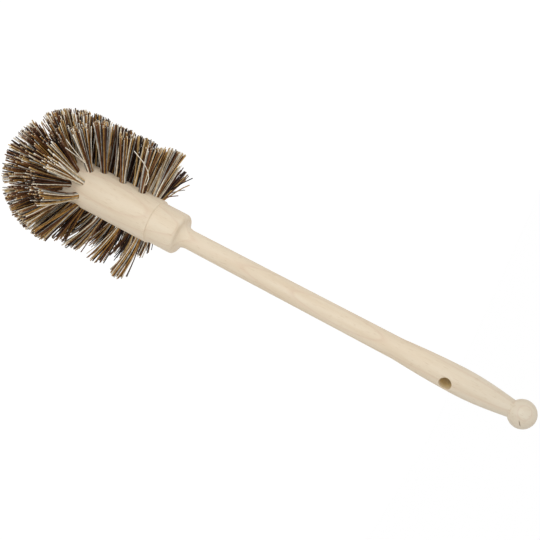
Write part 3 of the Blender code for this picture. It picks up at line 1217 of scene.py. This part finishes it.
@dataclass
class FibreTuft:
    """One tuft: loose fibres that stand in a drilled hole over a flat wire anchor.

    A few fibres are loose, and stray loose_factor times as far as the others. The
    trimmer misses its outline by cut_offset on average, give or take cut_spread, and
    leaves no fibre longer than the outline by more than cut_excess.
    """

    site: TuftSite
    mix: dict[Stalk, float]
    bend: Pair = (0.0, 0.0)
    strays: tuple[Stray, ...] = ()
    trim: Trim = field(default_factory=Trim)

    fibres: int = 40
    bundle_radius: float = 0.0021
    fibre_radius: float = 0.00042
    girth_spread: float = 0.18
    girth_limits: Pair = (0.65, 1.4)
    taper: float = 0.15
    root_depth: float = 0.0032
    stations: tuple[float, ...] = (0.0, 0.10, 0.25, 0.42, 0.60, 0.80, 1.0)
    ring_points: int = 6

    loose_chance: float = 0.05
    loose_factor: float = 2.0
    slope_spread: float = 0.022
    bow_spread: float = 0.7
    wave_spread: float = 0.00006
    wave_lengths: Pair = (0.012, 0.026)

    cut_offset: float = -0.0003
    cut_spread: float = 0.0004
    cut_excess: float = 0.0008
    reach_limits: Pair = (0.010, 0.060)
    reach_halvings: int = 14

    mix_step: float = 0.28
    mix_spread: float = 0.16
    core_radius: float = 0.0014
    # Painted shade: the core of a tuft gets more dark stalks, where shade falls between the fibres.
    core_shade_bias: tuple[float, ...] = (0.3, 0.5, 0.7, 1.3, 2.8)

    matrix: Matrix = field(init=False)
    rng: random.Random = field(init=False)

    def __post_init__(self) -> None:
        """Set the tuft's own frame and random numbers."""
        self.matrix = self.site.matrix()
        self.rng = random.Random(f"tuft {self.site.name}")

    def scatter(self, spread: float) -> Vector:
        """A random offset across the hole."""
        return Vector((self.rng.gauss(0.0, spread), self.rng.gauss(0.0, spread), 0.0))

    def courses(self) -> list[FibreCourse]:
        """Lay the fibres out over the hole and fan them.

        Returns:
            The lines of the fibres, from the middle of the tuft outwards.
        """
        courses = []
        turn = self.rng.uniform(0.0, 2.0 * math.pi)
        for number in range(self.fibres):
            share = math.sqrt((number + 0.5) / self.fibres)
            angle = turn + GOLDEN_ANGLE * number
            spoke = Vector((math.cos(angle), math.sin(angle), 0.0))
            looseness = self.loose_factor if self.rng.random() < self.loose_chance else 1.0
            slope = Vector((spoke.x * self.site.fan[0], spoke.y * self.site.fan[1], 0.0)) * share
            slope += self.scatter(self.slope_spread) * looseness
            bow = self.scatter(self.bow_spread) * looseness
            wave = self.scatter(self.wave_spread) * looseness
            courses.append(FibreCourse(
                seat=spoke * share * self.bundle_radius, slope=slope, bow=bow, wave=wave,
                wave_length=self.rng.uniform(*self.wave_lengths),
                phase=self.rng.uniform(0.0, 2.0 * math.pi), set_off=Vector((*self.bend, 0.0)),
            ))
        return courses

    def trimmed_reach(self, course: FibreCourse) -> float:
        """Find by halving where a fibre meets the trimmed outline.

        Args:
            course: The fibre's line.

        Returns:
            How far out of the hole that is.
        """
        low, high = self.reach_limits
        for _ in range(self.reach_halvings):
            middle = (low + high) / 2
            if self.trim.overshoot(self.matrix @ course.at(middle)) > 0.0:
                high = middle
            else:
                low = middle
        return low

    def strands(self) -> list[Strand]:
        """Cut every fibre to the outline, choose its stalk, and add the tuft's strays.

        Returns:
            The fibres, ready to draw.
        """
        strands = []
        rng = self.rng
        thinnest, thickest = self.girth_limits
        start = rng.random()
        for number, course in enumerate(self.courses()):
            uneven = min(rng.gauss(self.cut_offset, self.cut_spread), self.cut_excess)
            reach = self.trimmed_reach(course) + uneven
            girth = min(max(rng.gauss(1.0, self.girth_spread), thinnest), thickest)
            turn = (start + self.mix_step * number + rng.uniform(0.0, self.mix_spread)) % 1.0
            stalk = self.stalk_at(turn, course.seat.length < self.core_radius)
            strands.append(Strand(course, reach, stalk, girth * stalk.value.girth, rng.random()))
        for stray in self.strays:
            strands.append(Strand(stray.course(), stray.reach, stray.stalk, stray.girth, stray.shade))
        return strands

    def stalk_at(self, turn: float, in_core: bool) -> Stalk:
        """Read the mix as a wheel, which leans to darker stalks in the core of the tuft: painted shade, for
        the shade deep between the fibres.

        Args:
            turn: How far round the wheel, from 0 to 1.
            in_core: Whether the fibre stands in the core.

        Returns:
            The kind of stalk there.
        """
        weights = dict(self.mix)
        # The core's darker weights are painted shade.
        if in_core:
            weights = {kind: self.mix[kind] * bias for kind, bias in zip(Stalk, self.core_shade_bias)}
        left = turn * sum(weights.values())
        for kind, weight in weights.items():
            left -= weight
            if left < 0.0:
                return kind
        return Stalk.DARK

    def spots(self, strand: Strand) -> list[float]:
        """How far out of the hole the points of a fibre lie, its root's first."""
        return [-self.root_depth] + [strand.reach * share for share in self.stations]

    def draw(self, strands: list[Strand], palette: dict[Stalk, bpy.types.Material]) -> bpy.types.Object:
        """Draw the fibres as the splines of a round curve and make it a mesh.

        Args:
            strands: The fibres.
            palette: The material of each kind of stalk.

        Returns:
            The mesh, with ring_points vertices round every point of a fibre.
        """
        curve = bpy.data.curves.new(f"fibres_{self.site.name}", "CURVE")
        curve.dimensions = "3D"
        curve.bevel_depth = self.fibre_radius
        curve.bevel_resolution = self.ring_points // 2 - 2
        for material in palette.values():
            curve.materials.append(material)
        for strand in strands:
            spots = self.spots(strand)
            spline = curve.splines.new("POLY")
            spline.points.add(len(spots) - 1)
            spline.material_index = list(palette).index(strand.stalk)
            spline.use_smooth = True
            for point, spot in zip(spline.points, spots):
                point.co = (*(self.matrix @ strand.course.at(spot)), 1.0)
                point.radius = strand.girth * (1.0 - self.taper * max(spot, 0.0) / strand.reach)
        tuft = bpy.data.objects.new(curve.name, curve)
        bpy.context.scene.collection.objects.link(tuft)
        pick(tuft)
        bpy.ops.object.convert(target="MESH")
        return bpy.context.object

    def close_ends(self, tuft: bpy.types.Object, numbers: list[int]) -> None:
        """Fill both ends of every fibre and give each cap its fibre's material.

        Args:
            tuft: The fibres' mesh.
            numbers: The material number of each fibre.
        """
        pick(tuft)
        edit_all()
        bpy.ops.mesh.fill_holes(sides=self.ring_points)
        bpy.ops.object.mode_set(mode="OBJECT")
        fibre_points = len(tuft.data.vertices) // len(numbers)
        for face in tuft.data.polygons:
            if len(face.vertices) == self.ring_points:
                face.material_index = numbers[face.vertices[0] // fibre_points]

    def write_attribute(self, mesh: bpy.types.Mesh, name: str, values: list[float]) -> None:
        """Store a number for every vertex.

        Args:
            mesh: The fibres' mesh.
            name: The attribute that the materials read.
            values: One number for each point of the fibres.
        """
        every_vertex = [value for value in values for _ in range(self.ring_points)]
        if len(every_vertex) != len(mesh.vertices):
            raise ValueError(f"{name}: {len(every_vertex)} values for {len(mesh.vertices)} vertices")
        mesh.attributes.new(name, "FLOAT", "POINT").data.foreach_set("value", every_vertex)

    def seat_anchor(self, tuft: bpy.types.Object, anchor: bpy.types.Object) -> None:
        """Copy the wire anchor under the fibres' roots and join it to the tuft.

        Args:
            tuft: The fibres' mesh.
            anchor: The wire that is copied.
        """
        wire = bpy.data.objects.new("wire_anchor_copy", anchor.data.copy())
        bpy.context.scene.collection.objects.link(wire)
        wire.matrix_world = self.matrix @ Matrix.Translation((0.0, 0.0, -self.root_depth))
        bake_place(wire)
        pick(tuft, wire)
        bpy.ops.object.join()

    def build(
        self, palette: dict[Stalk, bpy.types.Material], anchor: bpy.types.Object,
    ) -> bpy.types.Object:
        """Draw the tuft and write the attributes that dress its fibres.

        Args:
            palette: The material of each kind of stalk.
            anchor: The flat wire that is copied to the bottom of the hole.

        Returns:
            The finished tuft.
        """
        strands = self.strands()
        tuft = self.draw(strands, palette)
        self.close_ends(tuft, [list(palette).index(strand.stalk) for strand in strands])
        shades = [strand.shade for strand in strands for _ in self.spots(strand)]
        self.write_attribute(tuft.data, "fibre_shade", shades)
        along = [max(spot, 0.0) / strand.reach for strand in strands for spot in self.spots(strand)]
        self.write_attribute(tuft.data, "fibre_along", along)
        self.seat_anchor(tuft, anchor)
        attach(tuft, BODY)
        if self.site.node:
            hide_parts(self.site.node)
        return tuft


@dataclass
class WireAnchor:
    """The short flat wire that a tuft is folded over."""

    length: float = 0.0042
    width: float = 0.0016
    thickness: float = 0.0005
    edge: float = 0.00012

    def build(self) -> bpy.types.Object:
        """Model the anchor once, lying across the hole with its top at zero.

        Returns:
            The anchor that every tuft copies.
        """
        pick()
        bpy.ops.mesh.primitive_cube_add(size=1.0, location=(0.0, 0.0, -self.thickness / 2))
        wire = bpy.context.object
        wire.name = "wire_anchor"
        wire.scale = (self.length, self.width, self.thickness)
        bake_place(wire)
        edit_all()
        bpy.ops.mesh.bevel(offset=self.edge, segments=1)
        bpy.ops.object.mode_set(mode="OBJECT")
        wire.data.materials.append(ZincWire().build())
        return wire


@dataclass(frozen=True)
class SeenTuft:
    """What the photograph shows of a tuft that isn't like the others.

    The bend is how far the fibres' ends stand off round the head and along it.
    """

    mix: Optional[tuple[float, ...]] = None
    bend: Pair = (0.0, 0.0)
    fan: Optional[Pair] = None


@dataclass
class Bristles:
    """All the tufts. A mix holds the shares of the stalks, in their order in Stalk."""

    sites: list[TuftSite]
    common_mix: tuple[float, ...] = (0.22, 0.06, 0.27, 0.20, 0.25)
    front_mix: tuple[float, ...] = (0.22, 0.04, 0.33, 0.25, 0.16)
    # Painted shade: the tufts behind the head's upper edge get a darker mix, for the shade that falls on
    # them.
    far_shade_mix: tuple[float, ...] = (0.12, 0.06, 0.16, 0.28, 0.38)
    mix_jitter: float = 0.4
    far_shade_deg: Pair = (-190.0, -139.0)
    open_fan: float = 0.20

    seen_tufts: dict[str, SeenTuft] = field(default_factory=lambda: {
        "a1": SeenTuft((0.15, 0.05, 0.30, 0.34, 0.16), (-0.0050, -0.0015)),
        "a2": SeenTuft((0.44, 0.05, 0.32, 0.13, 0.06), (0.0, 0.0020)),
        "a3": SeenTuft((0.16, 0.14, 0.26, 0.26, 0.18), (-0.0040, -0.0048)),
        "a4": SeenTuft(bend=(-0.0050, -0.0062)),
        "a5": SeenTuft(bend=(-0.0080, -0.0055)),
        "b2": SeenTuft((0.42, 0.06, 0.30, 0.14, 0.08)),
        "b3": SeenTuft((0.24, 0.06, 0.40, 0.20, 0.10), (0.0, 0.0050)),
        "b4": SeenTuft((0.16, 0.12, 0.24, 0.32, 0.16), (0.0, -0.0052), (0.17, 0.17)),
        "c3": SeenTuft((0.16, 0.14, 0.24, 0.30, 0.16), (-0.0010, -0.0040)),
        "c4": SeenTuft(bend=(-0.0060, -0.0010)),
        "d3": SeenTuft((0.10, 0.16, 0.42, 0.20, 0.12), (0.0, 0.0015)),
        "d4": SeenTuft((0.16, 0.10, 0.26, 0.32, 0.16), (-0.0020, -0.0060), (0.17, 0.19)),
        "e3": SeenTuft((0.16, 0.10, 0.30, 0.30, 0.14), (-0.0020, -0.0050)),
        "e4": SeenTuft(bend=(-0.0060, -0.0010)),
        "f3": SeenTuft((0.22, 0.22, 0.26, 0.22, 0.08)),
        "f4": SeenTuft((0.16, 0.10, 0.24, 0.34, 0.16), (-0.0045, -0.0080), (0.17, 0.20)),
        "g3": SeenTuft((0.34, 0.14, 0.28, 0.14, 0.10)),
        "g4": SeenTuft((0.54, 0.05, 0.30, 0.07, 0.04), fan=(0.11, 0.10)),
        "g5": SeenTuft((0.22, 0.10, 0.38, 0.18, 0.12), (-0.0085, 0.0)),
        "g6": SeenTuft((0.24, 0.04, 0.50, 0.14, 0.08)),
        "g7": SeenTuft(bend=(0.0, -0.0015), fan=(0.16, 0.18)),
        "g8": SeenTuft(bend=(-0.0060, 0.0)),
        "h5": SeenTuft((0.08, 0.12, 0.26, 0.30, 0.24)),
        "h6": SeenTuft((0.26, 0.04, 0.48, 0.14, 0.08)),
    })

    seen_strays: tuple[Stray, ...] = (
        Stray("a1", Stalk.DARK, (-0.03, 0.03), (2.5, 10.7), 0.029, 1.0, 0.3),
        Stray("a1", Stalk.GREY, (-0.21, 0.09), (-10.5, 4.0), 0.027, 1.0, 0.6),
        Stray("a1", Stalk.BROWN, (-0.29, 0.34), (-7.7, 12.6), 0.015, 1.0, 0.8),
        Stray("b3", Stalk.STRAW, (0.41, 1.38), (-2.4, -49.4), 0.0289),
        Stray("d3", Stalk.STRAW, (-0.01, 0.02), (4.2, -1.9), 0.026),
        Stray("g3", Stalk.STRAW, (0.67, 0.01), (0.1, -1.9), 0.026),
        Stray("g3", Stalk.STRAW, (0.93, 0.40), (-14.8, -14.2), 0.030),
        Stray("h4", Stalk.STRAW, (0.0, 0.03), (5.3, -3.0), 0.024),
    )

    def in_far_shade(self, site: TuftSite) -> bool:
        """Tell whether a tuft stands behind the upper edge of the head in the photograph, where its darker
        mix is painted shade.

        Args:
            site: Where the tuft stands.

        Returns:
            Whether its mouth lies in that sector.
        """
        angle_deg = math.degrees(math.atan2(site.mouth.x, -site.mouth.y))
        start_deg, end_deg = self.far_shade_deg
        return (angle_deg - start_deg) % 360.0 < end_deg - start_deg

    def mix_of(self, site: TuftSite) -> dict[Stalk, float]:
        """Mix the stalks of one tuft: as seen in the photograph, or else near a general mix.

        Args:
            site: Where the tuft stands.

        Returns:
            The share of each kind of stalk.
        """
        seen = self.seen_tufts.get(site.name, SeenTuft())
        if seen.mix:
            return dict(zip(Stalk, seen.mix))
        if site.fan[0] > self.open_fan:
            mix = self.front_mix
        # The far tufts' darker mix is painted shade.
        elif self.in_far_shade(site):
            mix = self.far_shade_mix
        else:
            mix = self.common_mix
        rng = random.Random(f"mix {site.name}")
        return {stalk: share * math.exp(rng.gauss(0.0, self.mix_jitter)) for stalk, share in zip(Stalk, mix)}

    def build(self) -> list[bpy.types.Object]:
        """Build every tuft.

        Returns:
            The tufts' pieces.
        """
        palette = {stalk: stalk.value.build() for stalk in Stalk}
        anchor = WireAnchor().build()
        tufts = []
        for site in self.sites:
            seen = self.seen_tufts.get(site.name, SeenTuft())
            site = replace(site, fan=seen.fan or site.fan)
            strays = tuple(stray for stray in self.seen_strays if stray.tuft == site.name)
            tufts.append(FibreTuft(site, self.mix_of(site), seen.bend, strays).build(palette, anchor))
        bpy.data.objects.remove(anchor, do_unlink=True)
        return tufts


# Studio

@dataclass(frozen=True)
class Softbox:
    """A soft square lamp, set up at an angle about Z and at a rise above the level."""

    name: str
    angle_deg: float
    rise_deg: float
    distance: float
    size: float
    power: float

    def build(self, aim: Vector) -> None:
        """Add the lamp.

        Args:
            aim: The point that it faces.
        """
        direction = out_of_head(self.angle_deg, -self.rise_deg)
        bpy.ops.object.light_add(type="AREA", location=aim + direction * self.distance)
        lamp = bpy.context.object
        lamp.name = self.name
        lamp.rotation_euler = (-direction).to_track_quat("-Z", "Y").to_euler()
        lamp.data.shape = "SQUARE"
        lamp.data.size = self.size
        lamp.data.energy = self.power


@dataclass
class Studio:
    """Camera, floor, lamps and world."""

    azimuth_deg: float = -41.0
    elevation_deg: float = 14.0
    roll_deg: float = 117.57
    aim_z: float = -0.1335
    aim_offset: float = -0.0068
    distance: float = 0.747
    focal_pixels: float = 1150.0
    frame_pixels: float = 540.0
    sensor_mm: float = 36.0
    clip: Pair = (0.01, 20.0)
    floor_drop: float = 0.32
    floor_size: float = 16.0
    world_light: float = 0.72
    lamps: tuple[Softbox, ...] = (
        Softbox("key_softbox", -51.0, -14.0, 1.3, 0.7, 5.4),
        Softbox("top_softbox", -71.0, 60.0, 1.4, 0.9, 1.5),
    )

    @property
    def aim(self) -> Vector:
        """The middle of the brush."""
        return Vector((0.0, 0.0, self.aim_z))

    def set_camera(self) -> None:
        """Place the camera where the photograph was taken from."""
        turn = (
            Matrix.Rotation(math.radians(self.azimuth_deg), 4, "Z")
            @ Matrix.Rotation(math.radians(90.0 - self.elevation_deg), 4, "X")
        )
        side = turn.to_3x3() @ Vector((1.0, 0.0, 0.0))
        back = turn.to_3x3() @ Vector((0.0, 0.0, 1.0))
        place = self.aim + side * self.aim_offset + back * self.distance
        bpy.ops.object.camera_add()
        camera = bpy.context.object
        camera.name = "camera"
        camera.matrix_world = (
            Matrix.Translation(place) @ turn @ Matrix.Rotation(math.radians(self.roll_deg), 4, "Z")
        )
        camera.data.sensor_width = self.sensor_mm
        camera.data.lens = self.sensor_mm * self.focal_pixels / self.frame_pixels
        camera.data.clip_start, camera.data.clip_end = self.clip
        bpy.context.scene.camera = camera

    def set_floor(self, lowest_z: float) -> None:
        """Lay a pale floor below the hanging brush, which keeps its shadow.

        Args:
            lowest_z: The lowest point of the brush.
        """
        pick()
        bpy.ops.mesh.primitive_plane_add(
            size=self.floor_size, location=(0.0, 0.0, lowest_z - self.floor_drop),
        )
        floor = bpy.context.object
        floor.name = "studio_floor"
        bake_place(floor)
        floor.data.materials.append(PalePaper().build())
        floor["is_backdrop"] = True

    def set_world(self) -> None:
        """Show white to the camera and in reflections, and light the object with a softer white."""
        world = bpy.data.worlds.new("white_studio")
        world.use_nodes = True
        bpy.context.scene.world = world
        tree = world.node_tree
        tree.nodes.clear()
        strength = add_node(
            tree, "MapRange", spans(UNIT_SPAN, (self.world_light, 1.0)),
            {"Value": seen_ray(tree)},
        ).outputs["Result"]
        glow = add_node(tree, "Background", {"Color": linear(WHITE)}, {"Strength": strength}).outputs[0]
        add_node(tree, "OutputWorld", {}, {"Surface": glow})

    def build(self, lowest_z: float) -> None:
        """Set the whole studio.

        Args:
            lowest_z: The lowest point of the brush.
        """
        bpy.context.scene.view_settings.view_transform = "Standard"
        self.set_camera()
        self.set_floor(lowest_z)
        self.set_world()
        for lamp in self.lamps:
            lamp.build(self.aim)


def main() -> None:
    """Build the brush and its studio, and report each piece."""
    logging.basicConfig(level=logging.INFO, format="%(message)s")
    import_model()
    cad_box = [list(corner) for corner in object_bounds()]
    body = TurnedBody()
    sites = TuftPattern(body).sites()
    piece = body.build(sites)
    LOG.info("%s: %d faces", piece.name, len(piece.data.polygons))
    for tuft in Bristles(sites).build():
        LOG.info("%s: %d faces", tuft.name, len(tuft.data.polygons))
    Studio().build(cad_box[0][2])


if __name__ == "__main__":
    main()
